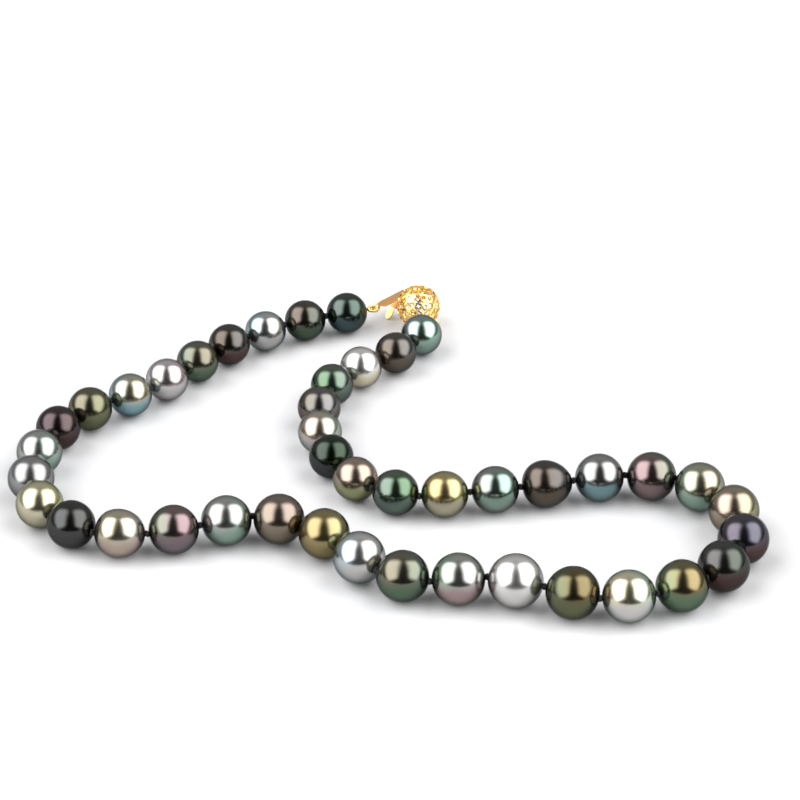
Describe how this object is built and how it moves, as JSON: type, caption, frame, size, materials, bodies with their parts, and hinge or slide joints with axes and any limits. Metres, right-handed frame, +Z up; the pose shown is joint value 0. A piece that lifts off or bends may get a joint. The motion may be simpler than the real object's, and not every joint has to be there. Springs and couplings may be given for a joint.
{
  "type": "pearl necklace",
  "caption": "Knotted strand of graduated multicoloured dark pearls with an open gold filigree ball clasp, laid in a loop.",
  "frame": {"origin": "middle of the box round the laid-out strand, on the surface it lies on", "axes": "+Z up from the surface, +X along the strand's longer way, the clasp's tongue and ball on the +Y side"},
  "size_m": [0.154, 0.1271, 0.0111],
  "materials": {
    "nacre_ink": "high lustre nacre",
    "nacre_peacock": "high lustre nacre",
    "nacre_silver_blue": "high lustre nacre",
    "nacre_aubergine": "high lustre nacre",
    "nacre_mauve": "high lustre nacre",
    "nacre_olive": "high lustre nacre",
    "nacre_seafoam": "high lustre nacre",
    "nacre_steel": "high lustre nacre",
    "nacre_pistachio": "high lustre nacre",
    "nacre_champagne": "high lustre nacre",
    "nacre_bronze": "high lustre nacre",
    "nacre_silver": "high lustre nacre",
    "black_silk": "twisted silk, knotted",
    "bullion_wire": "fine coiled wire, bright",
    "yellow_gold": "polished",
    "brushed_gold": "brushed"
  },
  "bodies": {
    "pearl_01": {"pearl_01": "nacre_ink", "wire_loop_tongue": "bullion_wire"},
    "pearl_02": {"pearl_02": "nacre_peacock"},
    "pearl_03": {"pearl_03": "nacre_silver_blue"},
    "pearl_04": {"pearl_04": "nacre_aubergine"},
    "pearl_05": {"pearl_05": "nacre_peacock"},
    "pearl_06": {"pearl_06": "nacre_mauve"},
    "pearl_07": {"pearl_07": "nacre_silver_blue"},
    "pearl_08": {"pearl_08": "nacre_olive"},
    "pearl_09": {"pearl_09": "nacre_aubergine"},
    "pearl_10": {"pearl_10": "nacre_seafoam"},
    "pearl_11": {"pearl_11": "nacre_steel"},
    "pearl_12": {"pearl_12": "nacre_pistachio"},
    "pearl_13": {"pearl_13": "nacre_ink"},
    "pearl_14": {"pearl_14": "nacre_champagne"},
    "pearl_15": {"pearl_15": "nacre_mauve"},
    "pearl_16": {"pearl_16": "nacre_seafoam"},
    "pearl_17": {"pearl_17": "nacre_bronze"},
    "pearl_18": {"pearl_18": "nacre_olive"},
    "pearl_19": {"pearl_19": "nacre_silver_blue"},
    "pearl_20": {"pearl_20": "nacre_peacock"},
    "pearl_21": {"pearl_21": "nacre_mauve"},
    "pearl_22": {"pearl_22": "nacre_silver", "silk_thread": "black_silk"},
    "pearl_23": {"pearl_23": "nacre_olive"},
    "pearl_24": {"pearl_24": "nacre_silver"},
    "pearl_25": {"pearl_25": "nacre_peacock"},
    "pearl_26": {"pearl_26": "nacre_ink"},
    "pearl_27": {"pearl_27": "nacre_aubergine"},
    "pearl_28": {"pearl_28": "nacre_olive"},
    "pearl_29": {"pearl_29": "nacre_seafoam"},
    "pearl_30": {"pearl_30": "nacre_mauve"},
    "pearl_31": {"pearl_31": "nacre_steel"},
    "pearl_32": {"pearl_32": "nacre_bronze"},
    "pearl_33": {"pearl_33": "nacre_peacock"},
    "pearl_34": {"pearl_34": "nacre_pistachio"},
    "pearl_35": {"pearl_35": "nacre_peacock"},
    "pearl_36": {"pearl_36": "nacre_bronze"},
    "pearl_37": {"pearl_37": "nacre_ink"},
    "pearl_38": {"pearl_38": "nacre_champagne"},
    "pearl_39": {"pearl_39": "nacre_bronze"},
    "pearl_40": {"pearl_40": "nacre_peacock"},
    "pearl_41": {"pearl_41": "nacre_silver"},
    "pearl_42": {"pearl_42": "nacre_bronze"},
    "pearl_43": {"pearl_43": "nacre_steel", "wire_loop_ball": "bullion_wire"},
    "tongue": {"tongue_ring": "yellow_gold", "tongue_leaf": "brushed_gold"},
    "tongue_spring": {"tongue_spring": "brushed_gold", "thumb_tab": "yellow_gold"},
    "ball": {"ball_ring": "yellow_gold", "ball_shell_near": "yellow_gold", "ball_shell_far": "yellow_gold", "seam_band": "yellow_gold", "catch_box": "yellow_gold"}
  },
  "joints": [
    {"name": "tongue_swivel", "type": "hinge", "parent": "pearl_01", "child": "tongue", "pos_m": [-0.00263, 0.0548, 0.00445], "axis": [0, 0, 1], "range_deg": [-3, 80]},
    {"name": "ball_swivel", "type": "hinge", "parent": "pearl_43", "child": "ball", "pos_m": [0.0103, 0.0492, 0.00446], "axis": [0, 0, 1], "range_deg": [-130, 40]},
    {"name": "tongue_spring_flex", "type": "hinge", "parent": "tongue", "child": "tongue_spring", "pos_m": [0.00499, 0.06262, 0.00409], "axis": [-0.7164, 0.6976, 0], "range_deg": [0, 19], "stiffness_Nm_per_rad": 0.0003},
    {"name": "knot_01_swing", "type": "hinge", "parent": "pearl_02", "child": "pearl_01", "pos_m": [-0.01299, 0.05173, 0.00445], "axis": [0, 0, 1], "range_deg": [0, 45], "deforming": ["silk_thread"]},
    {"name": "knot_03_swing", "type": "hinge", "parent": "pearl_04", "child": "pearl_03", "pos_m": [-0.02997, 0.04281, 0.00444], "axis": [0, 0, -1], "range_deg": [-48, 0], "deforming": ["silk_thread"]},
    {"name": "knot_05_swing", "type": "hinge", "parent": "pearl_06", "child": "pearl_05", "pos_m": [-0.04299, 0.02852, 0.00454], "axis": [0, 0, 1], "range_deg": [0, 33], "deforming": ["silk_thread"]},
    {"name": "knot_07_swing", "type": "hinge", "parent": "pearl_08", "child": "pearl_07", "pos_m": [-0.05793, 0.01595, 0.00463], "axis": [0, 0, -1], "range_deg": [-44, 0], "deforming": ["silk_thread"]},
    {"name": "knot_09_swing", "type": "hinge", "parent": "pearl_10", "child": "pearl_09", "pos_m": [-0.07022, 0.00064, 0.00474], "axis": [0, 0, 1], "range_deg": [0, 52], "deforming": ["silk_thread"]},
    {"name": "knot_11_swing", "type": "hinge", "parent": "pearl_12", "child": "pearl_11", "pos_m": [-0.07217, -0.01978, 0.00487], "axis": [0, 0, -1], "range_deg": [-64, 0], "deforming": ["silk_thread"]},
    {"name": "knot_13_swing", "type": "hinge", "parent": "pearl_14", "child": "pearl_13", "pos_m": [-0.05842, -0.035, 0.005], "axis": [0, 0, 1], "range_deg": [0, 67], "deforming": ["silk_thread"]},
    {"name": "knot_15_swing", "type": "hinge", "parent": "pearl_16", "child": "pearl_15", "pos_m": [-0.03691, -0.03257, 0.00512], "axis": [0, 0, -1], "range_deg": [-38, 0], "deforming": ["silk_thread"]},
    {"name": "knot_17_swing", "type": "hinge", "parent": "pearl_18", "child": "pearl_17", "pos_m": [-0.01571, -0.03172, 0.0052], "axis": [0, 0, 1], "range_deg": [0, 2], "deforming": ["silk_thread"]},
    {"name": "knot_19_swing", "type": "hinge", "parent": "pearl_20", "child": "pearl_19", "pos_m": [-0.00156, -0.049, 0.00528], "axis": [0, 0, -1], "range_deg": [-68, 0], "deforming": ["silk_thread"]},
    {"name": "knot_21_swing", "type": "hinge", "parent": "pearl_22", "child": "pearl_21", "pos_m": [0.02035, -0.05136, 0.00544], "axis": [0, 0, 1], "range_deg": [0, 8], "deforming": ["silk_thread"]},
    {"name": "knot_23_swing", "type": "hinge", "parent": "pearl_23", "child": "pearl_24", "pos_m": [0.04242, -0.05911, 0.00537], "axis": [0, 0, 1], "range_deg": [-65, 0], "deforming": ["silk_thread"]},
    {"name": "knot_25_swing", "type": "hinge", "parent": "pearl_25", "child": "pearl_26", "pos_m": [0.06356, -0.05183, 0.0053], "axis": [0, 0, 1], "range_deg": [-56, 0], "deforming": ["silk_thread"]},
    {"name": "knot_27_swing", "type": "hinge", "parent": "pearl_27", "child": "pearl_28", "pos_m": [0.0727, -0.03218, 0.00523], "axis": [0, 0, -1], "range_deg": [0, 67], "deforming": ["silk_thread"]},
    {"name": "knot_29_swing", "type": "hinge", "parent": "pearl_29", "child": "pearl_30", "pos_m": [0.06007, -0.01486, 0.00512], "axis": [0, 0, 1], "range_deg": [-69, 0], "deforming": ["silk_thread"]},
    {"name": "knot_31_swing", "type": "hinge", "parent": "pearl_31", "child": "pearl_32", "pos_m": [0.03868, -0.01565, 0.005], "axis": [0, 0, -1], "range_deg": [0, 37], "deforming": ["silk_thread"]},
    {"name": "knot_33_swing", "type": "hinge", "parent": "pearl_33", "child": "pearl_34", "pos_m": [0.01743, -0.01974, 0.00487], "axis": [0, 0, 1], "range_deg": [-36, 0], "deforming": ["silk_thread"]},
    {"name": "knot_35_swing", "type": "hinge", "parent": "pearl_35", "child": "pearl_36", "pos_m": [-0.00255, -0.01824, 0.0047], "axis": [0, 0, -1], "range_deg": [0, 6], "deforming": ["silk_thread"]},
    {"name": "knot_37_swing", "type": "hinge", "parent": "pearl_37", "child": "pearl_38", "pos_m": [-0.01271, -0.00123, 0.00463], "axis": [0, 0, 1], "range_deg": [-25, 0], "deforming": ["silk_thread"]},
    {"name": "knot_39_swing", "type": "hinge", "parent": "pearl_39", "child": "pearl_40", "pos_m": [-0.01336, 0.01836, 0.00454], "axis": [0, 0, -1], "range_deg": [0, 16], "deforming": ["silk_thread"]},
    {"name": "knot_41_swing", "type": "hinge", "parent": "pearl_41", "child": "pearl_42", "pos_m": [-0.00127, 0.03289, 0.00448], "axis": [0, 0, 1], "range_deg": [-43, 0], "deforming": ["silk_thread"]},
    {"name": "knot_02_lift", "type": "hinge", "parent": "pearl_03", "child": "pearl_02", "pos_m": [-0.02184, 0.04798, 0.00442], "axis": [0.4647, -0.8855, 0], "range_deg": [-38, 38], "deforming": ["silk_thread"]},
    {"name": "knot_04_lift", "type": "hinge", "parent": "pearl_05", "child": "pearl_04", "pos_m": [-0.03715, 0.03631, 0.00451], "axis": [-0.7391, 0.6736, 0], "range_deg": [-38, 38], "deforming": ["silk_thread"]},
    {"name": "knot_06_lift", "type": "hinge", "parent": "pearl_07", "child": "pearl_06", "pos_m": [-0.04951, 0.02117, 0.00458], "axis": [0.6445, -0.7646, 0], "range_deg": [-35, 35], "deforming": ["silk_thread"]},
    {"name": "knot_08_lift", "type": "hinge", "parent": "pearl_09", "child": "pearl_08", "pos_m": [-0.06577, 0.00973, 0.00468], "axis": [-0.7788, 0.6273, 0], "range_deg": [-30, 30], "deforming": ["silk_thread"]},
    {"name": "knot_10_lift", "type": "hinge", "parent": "pearl_11", "child": "pearl_10", "pos_m": [-0.07222, -0.00941, 0.0048], "axis": [0.9954, -0.0956, 0], "range_deg": [-36, 36], "deforming": ["silk_thread"]},
    {"name": "knot_12_lift", "type": "hinge", "parent": "pearl_13", "child": "pearl_12", "pos_m": [-0.06725, -0.02906, 0.00494], "axis": [-0.7431, -0.6692, 0], "range_deg": [-26, 26], "deforming": ["silk_thread"]},
    {"name": "knot_14_lift", "type": "hinge", "parent": "pearl_15", "child": "pearl_14", "pos_m": [-0.04737, -0.0356, 0.00506], "axis": [-0.1139, 0.9935, 0], "range_deg": [-32, 32], "deforming": ["silk_thread"]},
    {"name": "knot_16_lift", "type": "hinge", "parent": "pearl_17", "child": "pearl_16", "pos_m": [-0.02649, -0.02902, 0.00518], "axis": [0.0414, -0.9991, 0], "range_deg": [-17, 17], "deforming": ["silk_thread"]},
    {"name": "knot_18_lift", "type": "hinge", "parent": "pearl_19", "child": "pearl_18", "pos_m": [-0.00815, -0.03985, 0.00525], "axis": [0.7734, 0.6339, 0], "range_deg": [-36, 36], "deforming": ["silk_thread"]},
    {"name": "knot_20_lift", "type": "hinge", "parent": "pearl_21", "child": "pearl_20", "pos_m": [0.00911, -0.05312, 0.0053], "axis": [-0.1063, -0.9943, 0], "range_deg": [-21, 21], "deforming": ["silk_thread"]},
    {"name": "knot_22_lift", "type": "hinge", "parent": "pearl_22", "child": "pearl_23", "pos_m": [0.03158, -0.05498, 0.00547], "axis": [-0.3317, -0.9434, 0], "range_deg": [-35, 35], "deforming": ["silk_thread"]},
    {"name": "knot_24_lift", "type": "hinge", "parent": "pearl_24", "child": "pearl_25", "pos_m": [0.05366, -0.05734, 0.00533], "axis": [-0.3259, 0.9454, 0], "range_deg": [-31, 31], "deforming": ["silk_thread"]},
    {"name": "knot_26_lift", "type": "hinge", "parent": "pearl_26", "child": "pearl_27", "pos_m": [0.07086, -0.04323, 0.00527], "axis": [0.9071, -0.4209, 0], "range_deg": [-20, 20], "deforming": ["silk_thread"]},
    {"name": "knot_28_lift", "type": "hinge", "parent": "pearl_28", "child": "pearl_29", "pos_m": [0.06855, -0.02187, 0.00518], "axis": [-0.8072, -0.5903, 0], "range_deg": [-24, 24], "deforming": ["silk_thread"]},
    {"name": "knot_30_lift", "type": "hinge", "parent": "pearl_30", "child": "pearl_31", "pos_m": [0.04925, -0.01359, 0.00506], "axis": [-0.038, 0.9993, 0], "range_deg": [-33, 33], "deforming": ["silk_thread"]},
    {"name": "knot_32_lift", "type": "hinge", "parent": "pearl_32", "child": "pearl_33", "pos_m": [0.02779, -0.018, 0.00493], "axis": [0.1881, -0.9822, 0], "range_deg": [-37, 37], "deforming": ["silk_thread"]},
    {"name": "knot_34_lift", "type": "hinge", "parent": "pearl_34", "child": "pearl_35", "pos_m": [0.00719, -0.02139, 0.0048], "axis": [0.0763, 0.9971, 0], "range_deg": [-28, 28], "deforming": ["silk_thread"]},
    {"name": "knot_36_lift", "type": "hinge", "parent": "pearl_36", "child": "pearl_37", "pos_m": [-0.00921, -0.01061, 0.00464], "axis": [-0.8592, -0.5116, 0], "range_deg": [-33, 33], "deforming": ["silk_thread"]},
    {"name": "knot_38_lift", "type": "hinge", "parent": "pearl_38", "child": "pearl_39", "pos_m": [-0.01416, 0.00857, 0.00458], "axis": [0.9995, 0.0327, 0], "range_deg": [-37, 37], "deforming": ["silk_thread"]},
    {"name": "knot_40_lift", "type": "hinge", "parent": "pearl_40", "child": "pearl_41", "pos_m": [-0.00902, 0.02708, 0.00451], "axis": [-0.7685, 0.6398, 0], "range_deg": [-30, 30], "deforming": ["silk_thread"]},
    {"name": "knot_42_lift", "type": "hinge", "parent": "pearl_42", "child": "pearl_43", "pos_m": [0.00592, 0.03931, 0.00446], "axis": [-0.8083, 0.5887, 0], "range_deg": [-32, 32], "deforming": ["silk_thread"]}
  ]
}
